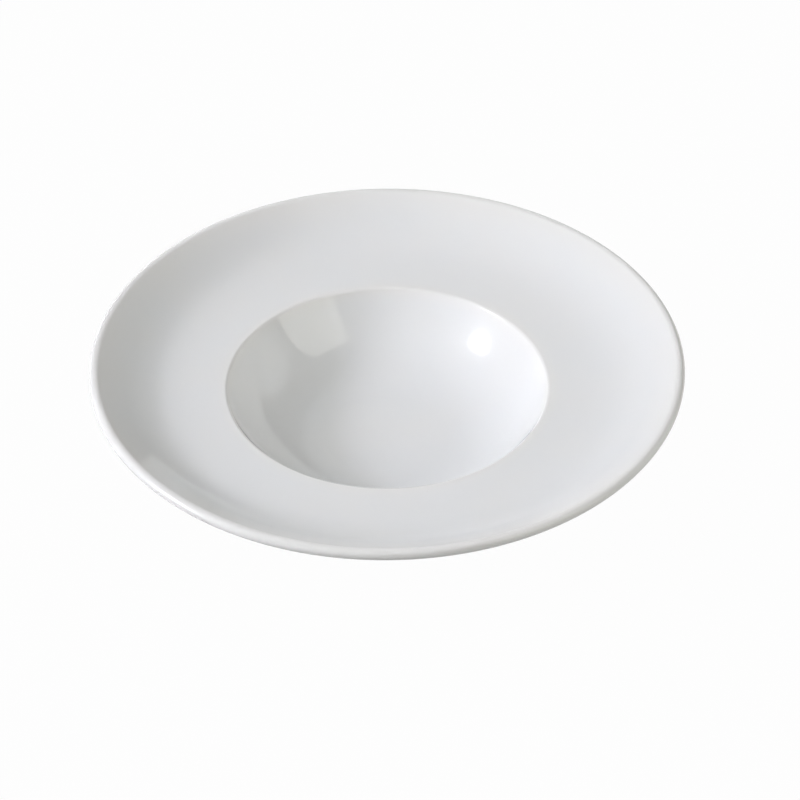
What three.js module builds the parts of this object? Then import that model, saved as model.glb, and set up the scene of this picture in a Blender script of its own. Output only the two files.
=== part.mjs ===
// Wide-rimmed soup plate in glazed porcelain.
// Millimetres, +Z up, origin at the middle of the foot ring's bearing face.
//
// The plate is one fired body of revolution with two coats of glaze fused to it. The main coat runs
// from the well over the rim, round the lip and down the underside to the foot ring. The base coat
// fills the recess inside the foot ring. The foot ring's bearing face is wiped bare between them.

import * as THREE from 'three';

// Rim and lip
const PLATE_DIAMETER = 300;
const RIM_THICKNESS = 5.2;
const RIM_RISE = 18.6;
const RIM_START_ANGLE = 1;

// Well
const WELL_DIAMETER = 163.2;
const WELL_DEPTH = 34.6;
const WELL_WALL_ANGLE = 57;
const WELL_CURVE_RADIUS = 47;
const WELL_EDGE_RADIUS = 2.2;

// Thickness of the well, and the hollow fillet under the rim
const WALL_THICKNESS = 5.6;
const FLOOR_THICKNESS = 6;
const UNDER_RIM_FILLET = 9;

// Foot ring
const FOOT_DIAMETER = 104;
const FOOT_WIDTH = 6;
const FOOT_HEIGHT = 3.6;
const FOOT_FILLET = 2.5;
const FOOT_EDGE_RADIUS = 1;
const RECESS_FILLET = 1.5;

// Glaze, its modelling gap to the body, and the bare band above the foot's rounded edge
const GLAZE_THICKNESS = 0.35;
const GLAZE_CLEARANCE = 0.05;
const BARE_BAND = 0.4;

// Facets around the axis and along the curves of the section
const SEGMENTS = 48;
const CURVE_STEPS = 6;
const UNDERSIDE_STEPS = 4;
const LIP_STEPS = 6;
const ROUND_STEPS = 3;

// Finishes
const GLAZE_COLOUR = 0xe9ebee;
const GLAZE_ROUGHNESS = 0.08;
const BODY_COLOUR = 0xe4dfd3;
const BODY_ROUGHNESS = 0.8;

// A point of the section: distance from the axis, and height
const point = (radius, height) => new THREE.Vector2(radius, height);

// Unit vectors along a surface of the given slope, and square to it on its upper side
const along = (slope) => point(Math.cos(slope), Math.sin(slope));
const above = (slope) => point(-Math.sin(slope), Math.cos(slope));

// Angle, seen from an arc's centre, at which the arc has the given slope. The centre of a hollow
// lies above the surface, and the centre of a crown below it.
const hollow = (slope) => slope - Math.PI / 2;
const crown = (slope) => slope + Math.PI / 2;

function arc(center, radius, from, to, steps) {
  const points = [];
  for (let step = 0; step <= steps; step += 1) {
    const angle = THREE.MathUtils.lerp(from, to, step / steps);
    points.push(point(Math.cos(angle), Math.sin(angle)).multiplyScalar(radius).add(center));
  }
  return points;
}

// Heights above the table
const floorTop = FOOT_HEIGHT + FLOOR_THICKNESS;
const edgeHeight = floorTop + WELL_DEPTH;
const lipTop = edgeHeight + RIM_RISE;
const glazeLine = FOOT_EDGE_RADIUS + BARE_BAND;

const startSlope = THREE.MathUtils.degToRad(RIM_START_ANGLE);
const wallSlope = THREE.MathUtils.degToRad(WELL_WALL_ANGLE);

// Crown between the well's wall and the rim: a round on the corner where the two would meet
const corner = point(WELL_DIAMETER / 2, edgeHeight);
const edgeTangent = WELL_EDGE_RADIUS * Math.tan((wallSlope - startSlope) / 2);
const rimStart = along(startSlope).multiplyScalar(edgeTangent).add(corner);
const edgeCenter = above(startSlope).multiplyScalar(-WELL_EDGE_RADIUS).add(rimStart);

// The lip is a full round, and the rim is the hollow arc that leaves the crown and touches the lip
const lipRadius = RIM_THICKNESS / 2;
const lipCenter = point(PLATE_DIAMETER / 2 - lipRadius, lipTop - lipRadius);
const fromLip = rimStart.clone().sub(lipCenter);
const rimRadius = (fromLip.lengthSq() - lipRadius ** 2) / (2 * (lipRadius - above(startSlope).dot(fromLip)));
const rimCenter = above(startSlope).multiplyScalar(rimRadius).add(rimStart);
const lipSlope = Math.atan2(lipCenter.x - rimCenter.x, rimCenter.y - lipCenter.y);

// The well's wall is straight below the crown, then curves into the flat floor. In a shallow well
// the curve is only as large as the wall leaves room for.
const curveRoom = (WELL_DEPTH - edgeTangent * Math.sin(wallSlope)) / (1 - Math.cos(wallSlope));
const curveRadius = Math.min(WELL_CURVE_RADIUS, curveRoom);
const straightRun = (WELL_DEPTH - curveRadius * (1 - Math.cos(wallSlope))) / Math.tan(wallSlope);
const floorRadius = WELL_DIAMETER / 2 - straightRun - curveRadius * Math.sin(wallSlope);
const curveCenter = point(floorRadius, floorTop + curveRadius);

// Fillet under the rim: it touches the wall's outer side and the rim's underside
const underRimRadius = rimRadius + RIM_THICKNESS;
const outerCorner = above(wallSlope).multiplyScalar(-WALL_THICKNESS - UNDER_RIM_FILLET).add(corner);
const toOuterCorner = outerCorner.clone().sub(rimCenter);
const alongWall = along(wallSlope).dot(toOuterCorner);
const reach = (underRimRadius + UNDER_RIM_FILLET) ** 2 - toOuterCorner.lengthSq();
const slide = -alongWall - Math.sqrt(alongWall ** 2 + reach);
const underCenter = along(wallSlope).multiplyScalar(slide).add(outerCorner);
const underSlope = Math.atan2(underCenter.x - rimCenter.x, rimCenter.y - underCenter.y);

// Fillet outside the foot ring: it touches the ring's side and the well's outer curve, or the flat
// underside where the ring stands further in than the curve
const footRadius = FOOT_DIAMETER / 2;
const outerCurveRadius = curveRadius + WALL_THICKNESS;
const footOffset = Math.max(0, footRadius + FOOT_FILLET - floorRadius);
const footSlope = Math.asin(footOffset / (outerCurveRadius + FOOT_FILLET));
const footDrop = (outerCurveRadius + FOOT_FILLET) * Math.cos(footSlope);
const footCenter = point(footRadius + FOOT_FILLET, curveCenter.y - footDrop);

// Main outline, from the axis in the well, over the lip, to the glaze line outside the foot ring.
// Inset moves every line and arc into the material by the same distance.
function outline(inset) {
  return [
    point(0, floorTop - inset),
    ...arc(curveCenter, curveRadius + inset, hollow(0), hollow(wallSlope), CURVE_STEPS),
    ...arc(edgeCenter, WELL_EDGE_RADIUS - inset, crown(wallSlope), crown(startSlope), ROUND_STEPS),
    ...arc(rimCenter, rimRadius + inset, hollow(startSlope), hollow(lipSlope), CURVE_STEPS).slice(1, -1),
    ...arc(lipCenter, lipRadius - inset, crown(lipSlope), hollow(lipSlope), LIP_STEPS),
    ...arc(rimCenter, underRimRadius - inset, hollow(lipSlope), hollow(underSlope), UNDERSIDE_STEPS).slice(1, -1),
    ...arc(underCenter, UNDER_RIM_FILLET + inset, crown(underSlope), crown(wallSlope), ROUND_STEPS),
    ...arc(curveCenter, outerCurveRadius - inset, hollow(wallSlope), hollow(footSlope), UNDERSIDE_STEPS),
    ...arc(footCenter, FOOT_FILLET + inset, crown(footSlope), Math.PI, ROUND_STEPS).slice(footOffset > 0 ? 1 : 0),
    point(footRadius - inset, glazeLine),
  ];
}

// Outline of the recess, from the axis to the glaze line inside the foot ring
const innerRadius = footRadius - FOOT_WIDTH;
const recessCenter = point(innerRadius - RECESS_FILLET, FOOT_HEIGHT - RECESS_FILLET);

function recess(inset) {
  return [
    point(0, FOOT_HEIGHT + inset),
    ...arc(recessCenter, RECESS_FILLET + inset, Math.PI / 2, 0, ROUND_STEPS),
    point(innerRadius + inset, glazeLine),
  ];
}

// Bare end of the foot ring, with its bearing face at height zero between two rounded edges
function footRing(inset) {
  const innerEdge = point(innerRadius + inset + FOOT_EDGE_RADIUS, FOOT_EDGE_RADIUS);
  const outerEdge = point(footRadius - inset - FOOT_EDGE_RADIUS, FOOT_EDGE_RADIUS);
  return [
    ...arc(innerEdge, FOOT_EDGE_RADIUS, Math.PI, 1.5 * Math.PI, ROUND_STEPS),
    ...arc(outerEdge, FOOT_EDGE_RADIUS, 1.5 * Math.PI, 2 * Math.PI, ROUND_STEPS),
  ];
}

function revolve(name, section, colour, roughness) {
  const geometry = new THREE.LatheGeometry(section, SEGMENTS).rotateX(Math.PI / 2);
  const material = new THREE.MeshStandardMaterial({ color: colour, roughness, metalness: 0 });
  const mesh = new THREE.Mesh(geometry, material);
  mesh.name = name;
  return mesh;
}

function porcelainBody() {
  const inset = GLAZE_THICKNESS + GLAZE_CLEARANCE;
  const section = [...recess(inset), ...footRing(inset), ...outline(inset).reverse()];
  return revolve('porcelain_body', section, BODY_COLOUR, BODY_ROUGHNESS);
}

function glazeCoat() {
  const section = [...outline(GLAZE_THICKNESS), ...outline(0).reverse()];
  return revolve('glaze_coat', section, GLAZE_COLOUR, GLAZE_ROUGHNESS);
}

function baseGlaze() {
  const section = [...recess(0), ...recess(GLAZE_THICKNESS).reverse()];
  return revolve('base_glaze', section, GLAZE_COLOUR, GLAZE_ROUGHNESS);
}

const soupPlate = new THREE.Group();
soupPlate.name = 'soup_plate';
soupPlate.add(porcelainBody(), glazeCoat(), baseGlaze());

export default soupPlate;
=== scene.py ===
# %% [markdown]
# A wide-rimmed soup plate
#
# The object is one fired porcelain body with glaze over nearly all of it. Every surface is a surface
# of revolution, so this lesson draws one section, turns it about the upright axis with a small
# Geometry Nodes tree, and then spends its effort on the finish and on the light.
#
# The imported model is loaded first. It is the fixed frame: it says how large the plate is and where it
# stands, and the pieces made here take the place of its plain solids.

# %% Load the frame and measure it
import math

import bpy
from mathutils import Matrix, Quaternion, Vector


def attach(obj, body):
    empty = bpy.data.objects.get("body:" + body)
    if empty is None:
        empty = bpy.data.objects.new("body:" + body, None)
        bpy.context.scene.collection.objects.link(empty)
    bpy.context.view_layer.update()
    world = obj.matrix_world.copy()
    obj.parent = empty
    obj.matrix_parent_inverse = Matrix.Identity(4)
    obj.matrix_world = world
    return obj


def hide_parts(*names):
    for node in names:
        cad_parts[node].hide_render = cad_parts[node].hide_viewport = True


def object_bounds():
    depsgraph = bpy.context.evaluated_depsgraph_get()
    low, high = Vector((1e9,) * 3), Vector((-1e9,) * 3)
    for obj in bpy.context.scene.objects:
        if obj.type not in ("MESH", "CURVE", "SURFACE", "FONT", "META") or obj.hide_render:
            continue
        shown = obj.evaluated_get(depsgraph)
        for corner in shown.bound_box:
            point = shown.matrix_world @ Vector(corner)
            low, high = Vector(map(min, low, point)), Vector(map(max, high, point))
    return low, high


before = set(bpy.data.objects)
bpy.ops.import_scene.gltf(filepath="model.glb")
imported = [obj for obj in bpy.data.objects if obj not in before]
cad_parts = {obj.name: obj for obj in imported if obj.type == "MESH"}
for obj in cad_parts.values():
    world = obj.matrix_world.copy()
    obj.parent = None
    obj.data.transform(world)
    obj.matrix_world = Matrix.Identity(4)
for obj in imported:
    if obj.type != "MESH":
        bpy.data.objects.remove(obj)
cad_low, cad_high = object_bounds()
plate_radius = cad_high.x
plate_height = cad_high.z
print(f"frame: radius {plate_radius:.4f} m, height {plate_height:.4f} m")
print(f"nodes: {sorted(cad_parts)}")

# %% [markdown]
# The camera
#
# The picture is a square of 800 pixels. The plate's far and near edges are nearly alike in it, so the
# lens is long and stands well back. The camera is placed by its distance from the middle of the lip
# and the angle at which it looks down, then turned until the middle of the lip falls on its pixel.

# %% Place the camera
IMAGE_SIZE = 800
SENSOR_WIDTH = 36
FOCAL_PIXELS = 2576
LIP_PIXEL = (387.0, 354.05)
CAMERA_DISTANCE = 1.30
CAMERA_ELEVATION = math.radians(37.8)
CAMERA_ROLL = math.radians(-0.426)

lip_middle = Vector((0, 0, plate_height))
towards_camera = Vector((0, -math.cos(CAMERA_ELEVATION), math.sin(CAMERA_ELEVATION)))
camera_data = bpy.data.cameras.new("camera")
camera_data.sensor_width = SENSOR_WIDTH
camera_data.lens = SENSOR_WIDTH * FOCAL_PIXELS / IMAGE_SIZE
camera = bpy.data.objects.new("camera", camera_data)
bpy.context.scene.collection.objects.link(camera)
camera.location = lip_middle + towards_camera * CAMERA_DISTANCE

# The ray through the lip's pixel, in the camera's own axes, is turned onto the real direction
lip_ray = Vector((LIP_PIXEL[0] - IMAGE_SIZE / 2, IMAGE_SIZE / 2 - LIP_PIXEL[1], -FOCAL_PIXELS))
aim = (-towards_camera).to_track_quat("-Z", "Y")
roll = Quaternion((0, 0, 1), CAMERA_ROLL)
offset = lip_ray.rotation_difference(Vector((0, 0, -1)))
camera.rotation_mode = "QUATERNION"
camera.rotation_quaternion = aim @ roll @ offset
bpy.context.scene.camera = camera
bpy.context.scene.view_settings.view_transform = "Standard"
print(f"camera: lens {camera_data.lens:.1f} mm at {tuple(round(c, 3) for c in camera.location)}")

# %% [markdown]
# The section
#
# A plate is designed as a section: lines and arcs that run into each other without a kink. Every
# curve here is an arc about a named centre, so moving the whole outline into the material by the
# thickness of the glaze only changes the radii. The same function therefore draws the top of the
# glaze, its underside and the porcelain below.

# %% Sizes of the section, in metres
MM = 0.001
RIM_THICKNESS = 5.2 * MM
RIM_RISE = 18.6 * MM
RIM_START_SLOPE = math.radians(2)
RIM_INNER_RADIUS = 300 * MM
RIM_JOIN = 107 * MM
RIM_CONE_SLOPE = math.radians(31)
LIP_CROWN_RADIUS = 4.6 * MM
WELL_RADIUS = 81.6 * MM
WELL_DEPTH = 34.6 * MM
WALL_SLOPE = math.radians(57)
WALL_FOOT_SLOPE = math.radians(51)
WALL_TOP_SLOPE = math.radians(63)
WELL_CURVE_RADIUS = 47 * MM
WELL_EDGE_RADIUS = 2.2 * MM
WALL_THICKNESS = 5.6 * MM
UNDER_RIM_FILLET = 9 * MM
FOOT_RADIUS = 52 * MM
FOOT_WIDTH = 6 * MM
FOOT_HEIGHT = 3.6 * MM
FOOT_FILLET = 2.5 * MM
FOOT_EDGE_RADIUS = 1 * MM
RECESS_FILLET = 1.5 * MM
GLAZE_THICKNESS = 0.35 * MM
GLAZE_CLEARANCE = 0.05 * MM
BARE_BAND = 0.4 * MM

edge_height = plate_height - RIM_RISE
floor_height = edge_height - WELL_DEPTH
glaze_line = FOOT_EDGE_RADIUS + BARE_BAND
print(f"section: well floor at {floor_height / MM:.1f} mm, well edge at {edge_height / MM:.1f} mm")


# %% Arcs of the section
ARC_STEP = math.radians(2.5)
LEAST_STEPS = 6


def point(radius, height):
    return Vector((radius, height))


def along(slope):
    return point(math.cos(slope), math.sin(slope))


def above(slope):
    return point(-math.sin(slope), math.cos(slope))


def hollow(slope):
    """Angle at the centre of a hollow arc, which lies above the surface, where it has this slope."""
    return slope - math.pi / 2


def crown(slope):
    """Angle at the centre of a crowned arc, which lies below the surface, where it has this slope."""
    return slope + math.pi / 2


def arc(centre, radius, start, end):
    steps = max(LEAST_STEPS, math.ceil(abs(end - start) / ARC_STEP))
    angles = [start + (end - start) * step / steps for step in range(steps + 1)]
    return [centre + radius * point(math.cos(angle), math.sin(angle)) for angle in angles]


# %% [markdown]
# The centres of the arcs are worked out in the order in which a turner would cut them: the crown of
# the well's edge, the lip, the rim that joins the two, the wall and floor of the well, and last the
# fillets under the rim and outside the foot.
#
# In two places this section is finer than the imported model's. The top of the rim is one arc there, and
# here only its underside is. The real top is nearly flat by the well, bends up into a straight cone
# and rolls over a soft crown into the lip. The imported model's wall is straight inside and outside.
# The real one is a slack hollow inside, at most half a millimetre deep, and it shows: a straight wall
# would stretch the round mirror image of a lamp into a streak.

# %% Edge of the well, lip and underside of the rim
well_corner = point(WELL_RADIUS, edge_height)
edge_tangent = WELL_EDGE_RADIUS * math.tan((WALL_TOP_SLOPE - RIM_START_SLOPE) / 2)
rim_start = well_corner + edge_tangent * along(RIM_START_SLOPE)
edge_centre = rim_start - WELL_EDGE_RADIUS * above(RIM_START_SLOPE)

lip_radius = RIM_THICKNESS / 2
lip_centre = point(plate_radius - lip_radius, plate_height - lip_radius)

# One arc leaves the edge of the well and touches the lip, and the underside runs a thickness below it
from_lip = rim_start - lip_centre
rim_spread = lip_radius - above(RIM_START_SLOPE).dot(from_lip)
rim_radius = (from_lip.length_squared - lip_radius**2) / (2 * rim_spread)
rim_centre = rim_start + rim_radius * above(RIM_START_SLOPE)
under_rim_radius = rim_radius + RIM_THICKNESS
lip_slope = math.atan2(lip_centre.x - rim_centre.x, rim_centre.y - lip_centre.y)
print(f"underside of the rim: one arc, radius {under_rim_radius / MM:.1f} mm")

# %% Top of the rim
# The inner part, the bend and the cone run into each other, and the cone touches the crown of the lip
crown_centre = lip_centre - (LIP_CROWN_RADIUS - lip_radius) * above(0)
cone_end = crown_centre + LIP_CROWN_RADIUS * above(RIM_CONE_SLOPE)
inner_rim_centre = rim_start + RIM_INNER_RADIUS * above(RIM_START_SLOPE)
join_slope = math.asin((RIM_JOIN - inner_rim_centre.x) / RIM_INNER_RADIUS)
rim_join = inner_rim_centre - RIM_INNER_RADIUS * above(join_slope)
bend_height = above(RIM_CONE_SLOPE).dot(rim_join - cone_end)
bend_radius = bend_height / (1 - math.cos(RIM_CONE_SLOPE - join_slope))
bend_centre = rim_join + bend_radius * above(join_slope)
cone_start = bend_centre - bend_radius * above(RIM_CONE_SLOPE)
cone_length = (cone_end - cone_start).length
lowered = (rim_join - rim_centre).length - rim_radius
print(f"top of the rim: bend of radius {bend_radius / MM:.1f} mm, cone {cone_length / MM:.1f} mm long")
print(f"top of the rim: {lowered / MM:.2f} mm below one arc where the bend starts")

# %% Inside of the well
# The hollow of the wall touches the crown of the edge above and the curve into the floor below
wall_top = well_corner - edge_tangent * along(WALL_TOP_SLOPE)
curve_depth = WELL_CURVE_RADIUS * (1 - math.cos(WALL_FOOT_SLOPE))
wall_spread = math.cos(WALL_FOOT_SLOPE) - math.cos(WALL_TOP_SLOPE)
wall_radius = (wall_top.y - floor_height - curve_depth) / wall_spread
wall_centre = wall_top + wall_radius * above(WALL_TOP_SLOPE)
curve_centre = wall_centre - (wall_radius - WELL_CURVE_RADIUS) * above(WALL_FOOT_SLOPE)
print(f"well: wall radius {wall_radius / MM:.1f} mm, flat floor out to {curve_centre.x / MM:.1f} mm")

# %% Outside of the well, fillet under the rim and foot
outer_curve_radius = WELL_CURVE_RADIUS + WALL_THICKNESS
outer_curve_depth = WELL_CURVE_RADIUS * (1 - math.cos(WALL_SLOPE))
straight_run = (WELL_DEPTH - outer_curve_depth) / math.tan(WALL_SLOPE)
outer_floor_radius = WELL_RADIUS - straight_run - WELL_CURVE_RADIUS * math.sin(WALL_SLOPE)
outer_curve_centre = point(outer_floor_radius, floor_height + WELL_CURVE_RADIUS)

# The fillet under the rim touches the straight outer wall and the underside
outer_corner = well_corner - (WALL_THICKNESS + UNDER_RIM_FILLET) * above(WALL_SLOPE)
to_corner = outer_corner - rim_centre
along_wall = along(WALL_SLOPE).dot(to_corner)
reach = (under_rim_radius + UNDER_RIM_FILLET) ** 2 - to_corner.length_squared
slide = -along_wall - math.sqrt(along_wall**2 + reach)
under_centre = outer_corner + slide * along(WALL_SLOPE)
under_slope = math.atan2(under_centre.x - rim_centre.x, rim_centre.y - under_centre.y)

# The fillet outside the foot touches the outer curve and the upright side of the foot ring
foot_reach = outer_curve_radius + FOOT_FILLET
foot_slope = math.asin((FOOT_RADIUS + FOOT_FILLET - outer_floor_radius) / foot_reach)
foot_centre = point(FOOT_RADIUS + FOOT_FILLET, outer_curve_centre.y - foot_reach * math.cos(foot_slope))
inner_radius = FOOT_RADIUS - FOOT_WIDTH
recess_centre = point(inner_radius - RECESS_FILLET, FOOT_HEIGHT - RECESS_FILLET)
print(f"foot: ring from {inner_radius / MM:.0f} to {FOOT_RADIUS / MM:.0f} mm from the axis")


# %% Outlines of the glaze, the recess and the foot
def main_outline(inset):
    """From the axis in the well, over the lip, to the glaze line outside the foot ring."""
    return [
        point(0, floor_height - inset),
        *arc(curve_centre, WELL_CURVE_RADIUS + inset, hollow(0), hollow(WALL_FOOT_SLOPE)),
        *arc(wall_centre, wall_radius + inset, hollow(WALL_FOOT_SLOPE), hollow(WALL_TOP_SLOPE))[1:],
        *arc(edge_centre, WELL_EDGE_RADIUS - inset, crown(WALL_TOP_SLOPE), crown(RIM_START_SLOPE))[1:],
        *arc(inner_rim_centre, RIM_INNER_RADIUS + inset, hollow(RIM_START_SLOPE), hollow(join_slope))[1:],
        *arc(bend_centre, bend_radius + inset, hollow(join_slope), hollow(RIM_CONE_SLOPE))[1:],
        *arc(crown_centre, LIP_CROWN_RADIUS - inset, crown(RIM_CONE_SLOPE), crown(0)),
        *arc(lip_centre, lip_radius - inset, crown(0), hollow(lip_slope))[1:],
        *arc(rim_centre, under_rim_radius - inset, hollow(lip_slope), hollow(under_slope))[1:-1],
        *arc(under_centre, UNDER_RIM_FILLET + inset, crown(under_slope), crown(WALL_SLOPE)),
        *arc(outer_curve_centre, outer_curve_radius - inset, hollow(WALL_SLOPE), hollow(foot_slope)),
        *arc(foot_centre, FOOT_FILLET + inset, crown(foot_slope), math.pi)[1:],
    ]


def recess_outline(inset):
    """From the axis to the glaze line inside the foot ring."""
    return [
        point(0, FOOT_HEIGHT + inset),
        *arc(recess_centre, RECESS_FILLET + inset, math.pi / 2, 0),
    ]


def foot_outline(inset):
    """The bare end of the foot ring, with its bearing face between two rounded edges."""
    inner_edge = point(inner_radius + inset + FOOT_EDGE_RADIUS, FOOT_EDGE_RADIUS)
    outer_edge = point(FOOT_RADIUS - inset - FOOT_EDGE_RADIUS, FOOT_EDGE_RADIUS)
    return [
        *arc(inner_edge, FOOT_EDGE_RADIUS, math.pi, 1.5 * math.pi),
        *arc(outer_edge, FOOT_EDGE_RADIUS, 1.5 * math.pi, 2 * math.pi),
    ]


# %% [markdown]
# Where the glaze was wiped off the foot, its edge draws back into a small round bead as it melts.
# A half circle of half the glaze's thickness ends each coat.

# %% Sections of the three pieces
bead_radius = GLAZE_THICKNESS / 2
bead_height = glaze_line + bead_radius
outer_bead = point(FOOT_RADIUS - bead_radius, bead_height)
inner_bead = point(inner_radius + bead_radius, bead_height)

glaze_section = [
    *main_outline(GLAZE_THICKNESS),
    *arc(outer_bead, bead_radius, math.pi, 2 * math.pi),
    *reversed(main_outline(0)),
]
base_section = [
    *recess_outline(0),
    *arc(inner_bead, bead_radius, math.pi, 2 * math.pi),
    *reversed(recess_outline(GLAZE_THICKNESS)),
]
body_inset = GLAZE_THICKNESS + GLAZE_CLEARANCE
body_section = [
    *recess_outline(body_inset),
    *foot_outline(body_inset),
    *reversed(main_outline(body_inset)),
]
for label, section in (("glaze", glaze_section), ("base", base_section), ("body", body_section)):
    print(f"{label} section: {len(section)} points")

# %% [markdown]
# How the glaze gathers
#
# Glaze is a thick melt in the kiln. It draws thin over sharp edges, such as the lip, and gathers in
# hollows, such as the corner above the foot, and its colour changes a little with its depth. The bend
# of the section tells where: the turn at each of its points is spread over a short length by a bell
# curve, and an S-curve makes the sum a share from 0, drawn thin, to 1, gathered. All three sections
# are drawn with the open air on their right, so a turn to the left goes round an edge.

# %% Gathering of the glaze along a section
GATHER_SPREAD = 2.5 * MM
GATHER_BEND = 1 / (12 * MM)


def bell(distance):
    return math.exp(-0.5 * (distance / GATHER_SPREAD) ** 2) / (GATHER_SPREAD * math.sqrt(math.tau))


def gathering_along(section):
    places = [0.0]
    for before, after in zip(section, section[1:]):
        places.append(places[-1] + (after - before).length)
    turns = [0.0]
    for before, here, after in zip(section, section[1:], section[2:]):
        turns.append((here - before).angle_signed(after - here, 0.0))
    bends = [sum(turn * bell(there - here) for turn, there in zip(turns, places)) for here in places]
    return [0.5 + 0.5 * math.tanh(bend / GATHER_BEND) for bend in bends]


gathering = gathering_along(glaze_section)
print(f"glaze: gathered share from {min(gathering):.2f} to {max(gathering):.2f}")

# %% [markdown]
# Turning the section
#
# Blender's Screw modifier could spin the section, but a node tree shows how it is done. A grid has
# one row for each point of the section and one column for each turn step, and a last column that meets
# the first. Each grid vertex looks up its row's point, keeps its height, and is set out at its column's
# angle. It also takes over the point's share of gathered glaze. Merging by distance then closes the
# seam and gathers the points on the axis into one pole.


# %% Helpers for node trees
def new_node(tree, kind, **settings):
    node = tree.nodes.new(kind)
    for name, value in settings.items():
        setattr(node, name, value)
    return node


def feed(tree, socket, value):
    """Links a socket to another node's output, or sets it to a plain value."""
    if isinstance(value, bpy.types.NodeSocket):
        tree.links.new(value, socket)
    else:
        socket.default_value = value


def math_node(tree, operation, *values):
    node = new_node(tree, "ShaderNodeMath", operation=operation)
    for socket, value in zip(node.inputs, values):
        feed(tree, socket, value)
    return node.outputs[0]


# %% Look up a value of the section's points
GATHERING = "gathering"


def sample_row(tree, section, row, value, data_type):
    sample = new_node(tree, "GeometryNodeSampleIndex", data_type=data_type, domain="POINT")
    feed(tree, sample.inputs["Geometry"], section)
    feed(tree, sample.inputs["Value"], value)
    feed(tree, sample.inputs["Index"], row)
    return sample.outputs["Value"]


# %% Sockets of the turning tree
def new_turning_tree():
    tree = bpy.data.node_groups.new("turn_section", "GeometryNodeTree")
    tree.is_modifier = True
    identifiers = {}
    for name, kind in (
        ("Section", "NodeSocketGeometry"),
        ("Turn Steps", "NodeSocketInt"),
        ("Weld Distance", "NodeSocketFloat"),
        ("Finish", "NodeSocketMaterial"),
    ):
        socket = tree.interface.new_socket(name, in_out="INPUT", socket_type=kind)
        identifiers[name] = socket.identifier
    tree.interface.new_socket("Piece", in_out="OUTPUT", socket_type="NodeSocketGeometry")
    return tree, identifiers


# %% Place of a grid vertex
def turned_place(tree, section, row, angle):
    """Its row's point of the section, set out at its column's angle."""
    position = new_node(tree, "GeometryNodeInputPosition").outputs["Position"]
    row_point = new_node(tree, "ShaderNodeSeparateXYZ")
    feed(tree, row_point.inputs["Vector"], sample_row(tree, section, row, position, "FLOAT_VECTOR"))
    radius = row_point.outputs["X"]
    place = new_node(tree, "ShaderNodeCombineXYZ")
    feed(tree, place.inputs["X"], math_node(tree, "MULTIPLY", radius, math_node(tree, "COSINE", angle)))
    feed(tree, place.inputs["Y"], math_node(tree, "MULTIPLY", radius, math_node(tree, "SINE", angle)))
    feed(tree, place.inputs["Z"], row_point.outputs["Z"])
    return place.outputs["Vector"]


# %% Gathered glaze of a grid vertex
def row_share(tree, section, row):
    share = new_node(tree, "GeometryNodeInputNamedAttribute", data_type="FLOAT")
    share.inputs["Name"].default_value = GATHERING
    return sample_row(tree, section, row, share.outputs["Attribute"], "FLOAT")


# %% Build the turning tree
def change(tree, geometry, kind, values, **settings):
    """Adds a node that takes in a geometry, changes it and passes it on."""
    node = new_node(tree, kind, **settings)
    feed(tree, node.inputs["Geometry"], geometry)
    for name, value in values.items():
        feed(tree, node.inputs[name], value)
    return node.outputs["Geometry"]


def build_turning_tree():
    tree, identifiers = new_turning_tree()
    given = new_node(tree, "NodeGroupInput").outputs
    section = given["Section"]
    rows = new_node(tree, "GeometryNodeAttributeDomainSize", component="MESH")
    feed(tree, rows.inputs["Geometry"], section)
    row_count = rows.outputs["Point Count"]
    grid = new_node(tree, "GeometryNodeMeshGrid")
    feed(tree, grid.inputs["Vertices X"], math_node(tree, "ADD", given["Turn Steps"], 1))
    feed(tree, grid.inputs["Vertices Y"], row_count)

    index = new_node(tree, "GeometryNodeInputIndex").outputs["Index"]
    row = math_node(tree, "MODULO", index, row_count)
    column = math_node(tree, "FLOOR", math_node(tree, "DIVIDE", index, row_count))
    turn = math_node(tree, "DIVIDE", column, given["Turn Steps"])
    place = turned_place(tree, section, row, math_node(tree, "MULTIPLY", turn, math.tau))

    piece = change(
        tree,
        grid.outputs["Mesh"],
        "GeometryNodeStoreNamedAttribute",
        {"Name": GATHERING, "Value": row_share(tree, section, row)},
        data_type="FLOAT",
        domain="POINT",
    )
    piece = change(tree, piece, "GeometryNodeSetPosition", {"Position": place})
    piece = change(tree, piece, "GeometryNodeMergeByDistance", {"Distance": given["Weld Distance"]})
    piece = change(tree, piece, "GeometryNodeSetShadeSmooth", {})
    piece = change(tree, piece, "GeometryNodeRealizeInstances", {})
    piece = change(tree, piece, "GeometryNodeSetMaterial", {"Material": given["Finish"]})
    feed(tree, new_node(tree, "NodeGroupOutput").inputs["Piece"], piece)
    return tree, identifiers


turning_tree, turning_inputs = build_turning_tree()
print(f"turning tree: {len(turning_tree.nodes)} nodes")

# %% Turn a section into a plain mesh
TURN_STEPS = 180
WELD_DISTANCE = 0.001 * MM


def turn_section(name, section, finish):
    line = bpy.data.meshes.new(f"{name}_section")
    links = [(step, step + 1) for step in range(len(section) - 1)]
    line.from_pydata([(p.x, 0, p.y) for p in section], links, [])
    shares = line.attributes.new(GATHERING, "FLOAT", "POINT")
    shares.data.foreach_set("value", gathering_along(section))
    piece = bpy.data.objects.new(name, line)
    bpy.context.scene.collection.objects.link(piece)
    modifier = piece.modifiers.new("turn", "NODES")
    modifier.node_group = turning_tree
    modifier[turning_inputs["Turn Steps"]] = TURN_STEPS
    modifier[turning_inputs["Weld Distance"]] = WELD_DISTANCE
    modifier[turning_inputs["Finish"]] = finish
    evaluated = piece.evaluated_get(bpy.context.evaluated_depsgraph_get())
    mesh = bpy.data.meshes.new_from_object(evaluated)
    piece.modifiers.remove(modifier)
    piece.data = mesh
    mesh.name = name
    print(f"{name}: {len(mesh.vertices)} vertices, {len(mesh.polygons)} faces")
    return piece


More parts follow.
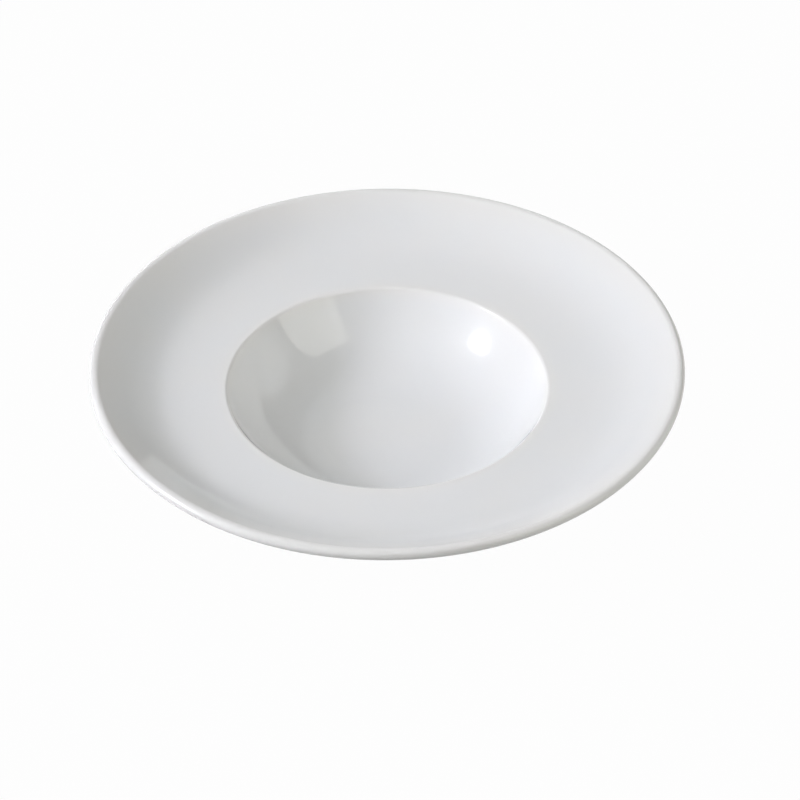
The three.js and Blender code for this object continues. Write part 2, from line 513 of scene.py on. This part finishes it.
# %% [markdown]
# Effects that the finishes share
#
# The glaze and the bare porcelain come out of one kiln, so they share some marks: soft patches where
# the fire was uneven, a few specks of iron from the clay, and rings from turning and grinding. Each
# is a shader group that reads a place on the piece, with its sizes in metres as inputs, and puts out
# one mask or height. The two materials then use the groups with their own sizes.


# %% Start a group of shader nodes
def new_group(name, sizes, output):
    tree = bpy.data.node_groups.new(name, "ShaderNodeTree")
    tree.interface.new_socket("Place", in_out="INPUT", socket_type="NodeSocketVector")
    for size in sizes:
        tree.interface.new_socket(size, in_out="INPUT", socket_type="NodeSocketFloat")
    tree.interface.new_socket(output, in_out="OUTPUT", socket_type="NodeSocketFloat")
    given = new_node(tree, "NodeGroupInput").outputs
    return tree, given, new_node(tree, "NodeGroupOutput").inputs[output]


def use_group(tree, group, place, sizes):
    node = new_node(tree, "ShaderNodeGroup", node_tree=group)
    feed(tree, node.inputs["Place"], place)
    for name, value in sizes.items():
        feed(tree, node.inputs[name], value)
    return node.outputs[0]


def span(tree, value, first, last, start=0.0, end=1.0):
    """Carries a value from one range over to another, eased at both ends."""
    node = new_node(tree, "ShaderNodeMapRange", interpolation_type="SMOOTHSTEP")
    for name, amount in (
        ("Value", value),
        ("From Min", first),
        ("From Max", last),
        ("To Min", start),
        ("To Max", end),
    ):
        feed(tree, node.inputs[name], amount)
    return node.outputs["Result"]


# %% Soft patches from the fire
PATCH_DETAIL = 2
# A noise keeps mostly to the middle of its range, between these two values
NOISE_LOW = 0.3
NOISE_HIGH = 0.7


def build_fire_patches():
    tree, given, mask = new_group("fire_patches", ["Patch Size"], "Mask")
    noise = new_node(tree, "ShaderNodeTexNoise", noise_dimensions="3D")
    feed(tree, noise.inputs["Vector"], given["Place"])
    feed(tree, noise.inputs["Scale"], math_node(tree, "DIVIDE", 1.0, given["Patch Size"]))
    noise.inputs["Detail"].default_value = PATCH_DETAIL
    feed(tree, mask, noise.outputs["Fac"])
    return tree


fire_patches = build_fire_patches()
print(f"{fire_patches.name}: {len(fire_patches.nodes)} nodes")


# %% Specks of iron
SPECK_CORE_SHARE = 0.3


def build_iron_specks():
    tree, given, mask = new_group("iron_specks", ["Spacing", "Speck Radius", "Share"], "Mask")
    cells = new_node(tree, "ShaderNodeTexVoronoi", voronoi_dimensions="3D", feature="F1")
    feed(tree, cells.inputs["Vector"], given["Place"])
    feed(tree, cells.inputs["Scale"], math_node(tree, "DIVIDE", 1.0, given["Spacing"]))
    distance = math_node(tree, "MULTIPLY", cells.outputs["Distance"], given["Spacing"])
    core = math_node(tree, "MULTIPLY", given["Speck Radius"], SPECK_CORE_SHARE)
    dot = span(tree, distance, core, given["Speck Radius"], 1.0, 0.0)
    lot = new_node(tree, "ShaderNodeSeparateColor")
    feed(tree, lot.inputs["Color"], cells.outputs["Color"])
    chosen = math_node(tree, "LESS_THAN", lot.outputs["Red"], given["Share"])
    feed(tree, mask, math_node(tree, "MULTIPLY", dot, chosen))
    return tree


iron_specks = build_iron_specks()
print(f"{iron_specks.name}: {len(iron_specks.nodes)} nodes")


# %% Rings from turning and grinding
DRIFT_SIZE = 25 * MM
RING_DETAIL = 3


def build_turned_rings():
    tree, given, height = new_group("turned_rings", ["Ring Spacing", "Wander"], "Height")
    flat = new_node(tree, "ShaderNodeVectorMath", operation="MULTIPLY")
    feed(tree, flat.inputs[0], given["Place"])
    flat.inputs[1].default_value = (1, 1, 0)
    length = new_node(tree, "ShaderNodeVectorMath", operation="LENGTH")
    feed(tree, length.inputs[0], flat.outputs["Vector"])
    drift = new_node(tree, "ShaderNodeTexNoise", noise_dimensions="3D")
    feed(tree, drift.inputs["Vector"], given["Place"])
    drift.inputs["Scale"].default_value = 1 / DRIFT_SIZE
    shift = math_node(tree, "MULTIPLY", drift.outputs["Fac"], given["Wander"])
    radius = math_node(tree, "ADD", length.outputs["Value"], shift)
    rings = new_node(tree, "ShaderNodeTexNoise", noise_dimensions="1D")
    feed(tree, rings.inputs["W"], math_node(tree, "DIVIDE", radius, given["Ring Spacing"]))
    rings.inputs["Scale"].default_value = 1
    rings.inputs["Detail"].default_value = RING_DETAIL
    feed(tree, height, rings.outputs["Fac"])
    return tree


turned_rings = build_turned_rings()
print(f"{turned_rings.name}: {len(turned_rings.nodes)} nodes")

# %% [markdown]
# White glaze
#
# The glaze is clear glass over a white body: a white surface with a weak, sharp reflection. Where it
# is drawn thin over an edge the warmer body shows through, and where it gathers it is a little cooler
# and greyer. Its surface isn't a perfect mirror. Broad ripples of a few thousandths of a millimetre
# and the faintest rings from turning make the reflections swim, which is what tells the eye that this
# is fired glaze and not plastic.


# %% Helpers for materials
# A mix node has a socket of every kind under each name, so its colour sockets go by number
MIX_COLOURS = (6, 7)
MIX_RESULT = 2


def new_material(name):
    material = bpy.data.materials.new(name)
    material.use_nodes = True
    return material, material.node_tree, material.node_tree.nodes["Principled BSDF"]


def blend_colours(tree, share, first, second):
    node = new_node(tree, "ShaderNodeMix", data_type="RGBA")
    feed(tree, node.inputs["Factor"], share)
    for number, colour in zip(MIX_COLOURS, (first, second)):
        feed(tree, node.inputs[number], colour)
    return node.outputs[MIX_RESULT]


def relief(tree, height, depth, below=None):
    node = new_node(tree, "ShaderNodeBump")
    feed(tree, node.inputs["Height"], height)
    node.inputs["Distance"].default_value = depth
    if below is not None:
        feed(tree, node.inputs["Normal"], below)
    return node.outputs["Normal"]


# %% White glaze
THIN_GLAZE = (0.855, 0.845, 0.825, 1)
GATHERED_GLAZE = (0.825, 0.835, 0.84, 1)
SPECK_COLOUR = (0.42, 0.38, 0.33, 1)
GLAZE_IOR = 1.55
GLAZE_PATCHES = {"Patch Size": 45 * MM}
GLAZE_UNEVENNESS = 0.15
GLAZE_SPECKS = {"Spacing": 9 * MM, "Speck Radius": 0.45 * MM, "Share": 0.12}
GLAZE_SPECK_STRENGTH = 0.4
SHEEN_PATCHES = {"Patch Size": 18 * MM}
LEAST_ROUGHNESS = 0.025
MOST_ROUGHNESS = 0.055
RIPPLES = {"Patch Size": 16 * MM}
RIPPLE_DEPTH = 0.004 * MM
GLAZE_RINGS = {"Ring Spacing": 5 * MM, "Wander": 2 * MM}
GLAZE_RING_DEPTH = 0.0008 * MM


def build_white_glaze():
    material, tree, shader = new_material("white_glaze")
    place = new_node(tree, "ShaderNodeTexCoord").outputs["Object"]
    share = new_node(tree, "ShaderNodeAttribute", attribute_name=GATHERING).outputs["Fac"]
    patches = use_group(tree, fire_patches, place, GLAZE_PATCHES)
    uneven = span(tree, patches, NOISE_LOW, NOISE_HIGH, -GLAZE_UNEVENNESS, GLAZE_UNEVENNESS)
    white = blend_colours(tree, math_node(tree, "ADD", share, uneven), THIN_GLAZE, GATHERED_GLAZE)
    specks = use_group(tree, iron_specks, place, GLAZE_SPECKS)
    faint = math_node(tree, "MULTIPLY", specks, GLAZE_SPECK_STRENGTH)
    feed(tree, shader.inputs["Base Color"], blend_colours(tree, faint, white, SPECK_COLOUR))
    sheen = use_group(tree, fire_patches, place, SHEEN_PATCHES)
    roughness = span(tree, sheen, NOISE_LOW, NOISE_HIGH, LEAST_ROUGHNESS, MOST_ROUGHNESS)
    feed(tree, shader.inputs["Roughness"], roughness)
    ripples = use_group(tree, fire_patches, place, RIPPLES)
    rings = use_group(tree, turned_rings, place, GLAZE_RINGS)
    rippled = relief(tree, ripples, RIPPLE_DEPTH)
    feed(tree, shader.inputs["Normal"], relief(tree, rings, GLAZE_RING_DEPTH, rippled))
    shader.inputs["IOR"].default_value = GLAZE_IOR
    return material


white_glaze = build_white_glaze()
print(f"{white_glaze.name}: {len(white_glaze.node_tree.nodes)} nodes")

# %% [markdown]
# Bare porcelain
#
# The end of the foot ring stood on the kiln shelf, so it has no glaze. It was then ground level. Bare
# fired porcelain is matt, fine-grained and a little warmer than the glaze, and the grinding leaves
# fine rings with grey dust in them.

# %% Bare porcelain
BISQUE = (0.80, 0.765, 0.705, 1)
GROUND_GREY = (0.63, 0.605, 0.565, 1)
FOOT_RINGS = {"Ring Spacing": 0.45 * MM, "Wander": 0.3 * MM}
FOOT_RING_DEPTH = 0.02 * MM
DUSTY_FROM = 0.42
DUSTY_TO = 0.7
WEAR_PATCHES = {"Patch Size": 7 * MM}
LEAST_WEAR = 0.3
FOOT_SPECKS = {"Spacing": 2.5 * MM, "Speck Radius": 0.2 * MM, "Share": 0.25}
MATT_ROUGHNESS = 0.72
GROUND_ROUGHNESS = 0.52
GRAIN = {"Patch Size": 0.35 * MM}
GRAIN_DEPTH = 0.015 * MM


def build_bare_porcelain():
    material, tree, shader = new_material("bare_porcelain")
    place = new_node(tree, "ShaderNodeTexCoord").outputs["Object"]
    rings = use_group(tree, turned_rings, place, FOOT_RINGS)
    patches = use_group(tree, fire_patches, place, WEAR_PATCHES)
    dusty = span(tree, rings, DUSTY_FROM, DUSTY_TO)
    wear = span(tree, patches, NOISE_LOW, NOISE_HIGH, LEAST_WEAR, 1.0)
    worn = math_node(tree, "MULTIPLY", dusty, wear)
    ground = blend_colours(tree, worn, BISQUE, GROUND_GREY)
    specks = use_group(tree, iron_specks, place, FOOT_SPECKS)
    feed(tree, shader.inputs["Base Color"], blend_colours(tree, specks, ground, SPECK_COLOUR))
    roughness = span(tree, worn, 0.0, 1.0, MATT_ROUGHNESS, GROUND_ROUGHNESS)
    feed(tree, shader.inputs["Roughness"], roughness)
    grain = use_group(tree, fire_patches, place, GRAIN)
    ground_rings = relief(tree, rings, FOOT_RING_DEPTH)
    feed(tree, shader.inputs["Normal"], relief(tree, grain, GRAIN_DEPTH, ground_rings))
    return material


bare_porcelain = build_bare_porcelain()
print(f"{bare_porcelain.name}: {len(bare_porcelain.node_tree.nodes)} nodes")

# %% [markdown]
# The pieces
#
# Three turned pieces make the plate, as on the real one: the fired body, the glaze over its outside
# and the glaze in the recess under its foot. Each takes the place of its plain solid.

# %% Make the pieces
glaze_coat = turn_section("plate_glaze", glaze_section, white_glaze)
base_coat = turn_section("base_glaze_coat", base_section, white_glaze)
body = turn_section("fired_body", body_section, bare_porcelain)
for piece, node, slot in (
    (glaze_coat, "glaze_coat", "white_glaze"),
    (base_coat, "base_glaze", "white_glaze"),
    (body, "porcelain_body", "bare_porcelain"),
):
    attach(piece, "root")
    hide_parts(node)

# %% [markdown]
# The floor
#
# The plate stands on a plain flat floor. Lit by the lamps alone the floor would come out grey,
# so what the camera and the reflections see of it is mostly a white of strength 1, and the rest is
# the lit floor with the plate's shadow. The light that the floor throws back up is that of the plain
# floor. From below, the floor lets the view through, so that the foot can be looked at.

# %% Floor
HALF_FLOOR = 6.0
FLOOR_COLOUR = (0.32, 0.32, 0.32, 1)
FLOOR_ROUGHNESS = 0.9
FLOOR_WHITENESS = 0.98


def seen_rays(tree):
    """1 for rays of the camera, of reflections and through glass, and 0 for the rest."""
    path = new_node(tree, "ShaderNodeLightPath").outputs
    mirrored = math_node(tree, "MAXIMUM", path["Is Camera Ray"], path["Is Glossy Ray"])
    return math_node(tree, "MAXIMUM", mirrored, path["Is Transmission Ray"])


def build_floor_material():
    material, tree, shader = new_material("white_sweep")
    shader.inputs["Base Color"].default_value = FLOOR_COLOUR
    shader.inputs["Roughness"].default_value = FLOOR_ROUGHNESS
    shader.inputs["Specular IOR Level"].default_value = 0.0
    white = new_node(tree, "ShaderNodeEmission")
    whitened = new_node(tree, "ShaderNodeMixShader")
    feed(tree, whitened.inputs["Fac"], math_node(tree, "MULTIPLY", seen_rays(tree), FLOOR_WHITENESS))
    feed(tree, whitened.inputs[1], shader.outputs["BSDF"])
    feed(tree, whitened.inputs[2], white.outputs["Emission"])
    through = new_node(tree, "ShaderNodeMixShader")
    feed(tree, through.inputs["Fac"], new_node(tree, "ShaderNodeNewGeometry").outputs["Backfacing"])
    feed(tree, through.inputs[1], whitened.outputs["Shader"])
    feed(tree, through.inputs[2], new_node(tree, "ShaderNodeBsdfTransparent").outputs["BSDF"])
    feed(tree, tree.nodes["Material Output"].inputs["Surface"], through.outputs["Shader"])
    return material


floor_mesh = bpy.data.meshes.new("floor")
corners = [(HALF_FLOOR * x, HALF_FLOOR * y, 0) for x, y in ((-1, -1), (1, -1), (1, 1), (-1, 1))]
floor_mesh.from_pydata(corners, [], [(0, 1, 2, 3)])
floor_mesh.materials.append(build_floor_material())
floor = bpy.data.objects.new("floor", floor_mesh)
bpy.context.scene.collection.objects.link(floor)
print(f"floor: {2 * HALF_FLOOR:.0f} m square, whitened by {FLOOR_WHITENESS:.2f}")

# %% [markdown]
# Light
#
# A white, glossy plate is drawn by its light alone. The light comes in three parts. The surroundings
# are bright on the left and dark on the right, which shades the rim from side to side, and they hold
# three soft round glows: one high at the front left, one low on the left and one low on the right. The
# key lamp stands on the left: a hot middle with a weak glow round it, as behind a cloth, so that its
# mirror image in the well is a soft round spot. A dim upright panel on the right lifts the shaded side,
# and its mirror image is the pale four-sided patch on the far wall of the well.
#
# Directions are given by two angles: one round the plate, clockwise from straight behind it as seen
# from above, and one up from the floor.


# %% Directions
def direction(round_angle, up_angle):
    turn = math.radians(round_angle)
    rise = math.radians(up_angle)
    return Vector((math.sin(turn) * math.cos(rise), math.cos(turn) * math.cos(rise), math.sin(rise)))


def lean(tree, vector, towards):
    """How far a direction leans towards another one, from -1 to 1."""
    node = new_node(tree, "ShaderNodeVectorMath", operation="DOT_PRODUCT")
    feed(tree, node.inputs[0], vector)
    feed(tree, node.inputs[1], towards)
    return node.outputs["Value"]


# %% Surroundings
SURROUNDING_COLOUR = (0.968, 0.985, 1.0, 1)
LEFT_LIGHT = 0.685
DARK_SIDE = (98, -19)
# How far a direction leans to the dark side where the light starts to fade and where it is gone
FADE_START = -0.17
FADE_END = 0.01
# The angles of a glow, in degrees: its direction, its full core and its outer edge
FRONT_GLOW = {"place": (-128, 42), "core": 12, "edge": 35, "strength": 0.21}
LEFT_GLOW = {"place": (-100, 8), "core": 8, "edge": 22, "strength": 0.82}
RIGHT_GLOW = {"place": (74, 17), "core": 8, "edge": 25, "strength": 1.12}


def soft_round(tree, outward, place, core, edge, strength):
    """A round patch of light in the surroundings, full inside its core and fading to its edge."""
    towards_glow = lean(tree, outward, direction(*place))
    outer = math.cos(math.radians(edge))
    inner = math.cos(math.radians(core))
    return span(tree, towards_glow, outer, inner, 0.0, strength)


def build_surroundings():
    world = bpy.data.worlds.new("surroundings")
    world.use_nodes = True
    tree = world.node_tree
    outward = new_node(tree, "ShaderNodeTexCoord").outputs["Generated"]
    to_dark = lean(tree, outward, direction(*DARK_SIDE))
    light = span(tree, to_dark, FADE_START, FADE_END, LEFT_LIGHT, 0.0)
    for glow in (FRONT_GLOW, LEFT_GLOW, RIGHT_GLOW):
        light = math_node(tree, "ADD", light, soft_round(tree, outward, **glow))
    background = tree.nodes["Background"]
    background.inputs["Color"].default_value = SURROUNDING_COLOUR
    feed(tree, background.inputs["Strength"], light)
    return world


surroundings = build_surroundings()
bpy.context.scene.world = surroundings
print(f"{surroundings.name}: {LEFT_LIGHT} on the left, {len(surroundings.node_tree.nodes)} nodes")


# %% Helper for lamps
def area_lamp(name, middle, facing, width, height, brightness, colour):
    """A rectangle whose face has this brightness, turned to shine along the facing direction."""
    data = bpy.data.lights.new(name, "AREA")
    data.shape = "RECTANGLE"
    data.size = width
    data.size_y = height
    data.energy = math.pi * width * height * brightness
    data.color = colour
    lamp = bpy.data.objects.new(name, data)
    bpy.context.scene.collection.objects.link(lamp)
    lamp.location = middle
    lamp.rotation_mode = "QUATERNION"
    lamp.rotation_quaternion = (-facing).to_track_quat("Z", "Y")
    lamp.visible_camera = False
    print(f"{name}: {width:.2f} by {height:.2f} m, brightness {brightness}, {data.energy:.1f} W")
    return lamp


# %% Key lamp
KEY_COLOUR = (0.92, 0.92, 1.0)
KEY_PLACE = (-100, 27)
KEY_DISTANCE = 1.5
KEY_AIM_HEIGHT = 0.04
KEY_WIDTH = 1.48

# Its face has brightness 1, which the next cell's nodes multiply
towards_key = direction(*KEY_PLACE)
key_middle = towards_key * KEY_DISTANCE + Vector((0, 0, KEY_AIM_HEIGHT))
key = area_lamp("key", key_middle, -towards_key, KEY_WIDTH, KEY_WIDTH, 1.0, KEY_COLOUR)

# %% Hot middle and glow of the key lamp
KEY_CORE = 32.0
KEY_CORE_RADIUS = 0.08
KEY_CORE_EDGE = 0.25
KEY_GLOW = 2.78
KEY_GLOW_EDGE = 0.66
KEY_GLOW_SHIFT = 0.08


def distance_on_key(tree, shift):
    """Distance from a place on the lamp's face that lies off its middle, to the front and up."""
    place = new_node(tree, "ShaderNodeVectorMath", operation="MULTIPLY")
    feed(tree, place.inputs[0], new_node(tree, "ShaderNodeNewGeometry").outputs["Parametric"])
    place.inputs[1].default_value = (KEY_WIDTH, KEY_WIDTH, 0)
    distance = new_node(tree, "ShaderNodeVectorMath", operation="DISTANCE")
    feed(tree, distance.inputs[0], place.outputs["Vector"])
    distance.inputs[1].default_value = (KEY_WIDTH / 2 + shift, KEY_WIDTH / 2 + shift, 0)
    return distance.outputs["Value"]


key.data.use_nodes = True
key_tree = key.data.node_tree
core = span(key_tree, distance_on_key(key_tree, 0.0), KEY_CORE_RADIUS, KEY_CORE_EDGE, KEY_CORE, 0.0)
glow = span(key_tree, distance_on_key(key_tree, KEY_GLOW_SHIFT), 0.0, KEY_GLOW_EDGE, KEY_GLOW, 0.0)
feed(key_tree, key_tree.nodes["Emission"].inputs["Strength"], math_node(key_tree, "ADD", core, glow))
print(f"key: brightness {KEY_CORE} in the middle, {KEY_GLOW} in the glow")

# %% Panel on the right
PANEL_COLOUR = (1.0, 0.987, 0.914)
PANEL_BRIGHTNESS = 1.79
PANEL_ROUND_ANGLE = 119.8
PANEL_FACING_ANGLE = 134.6
PANEL_DISTANCE = 1.21
PANEL_WIDTH = 0.963
PANEL_HEIGHT = 1.44
PANEL_LOWER_EDGE = 0.22

panel_foot = direction(PANEL_ROUND_ANGLE, 0) * PANEL_DISTANCE
panel_middle = panel_foot + Vector((0, 0, PANEL_LOWER_EDGE + PANEL_HEIGHT / 2))
panel_facing = -direction(PANEL_FACING_ANGLE, 0)
area_lamp(
    "panel", panel_middle, panel_facing, PANEL_WIDTH, PANEL_HEIGHT, PANEL_BRIGHTNESS, PANEL_COLOUR
)
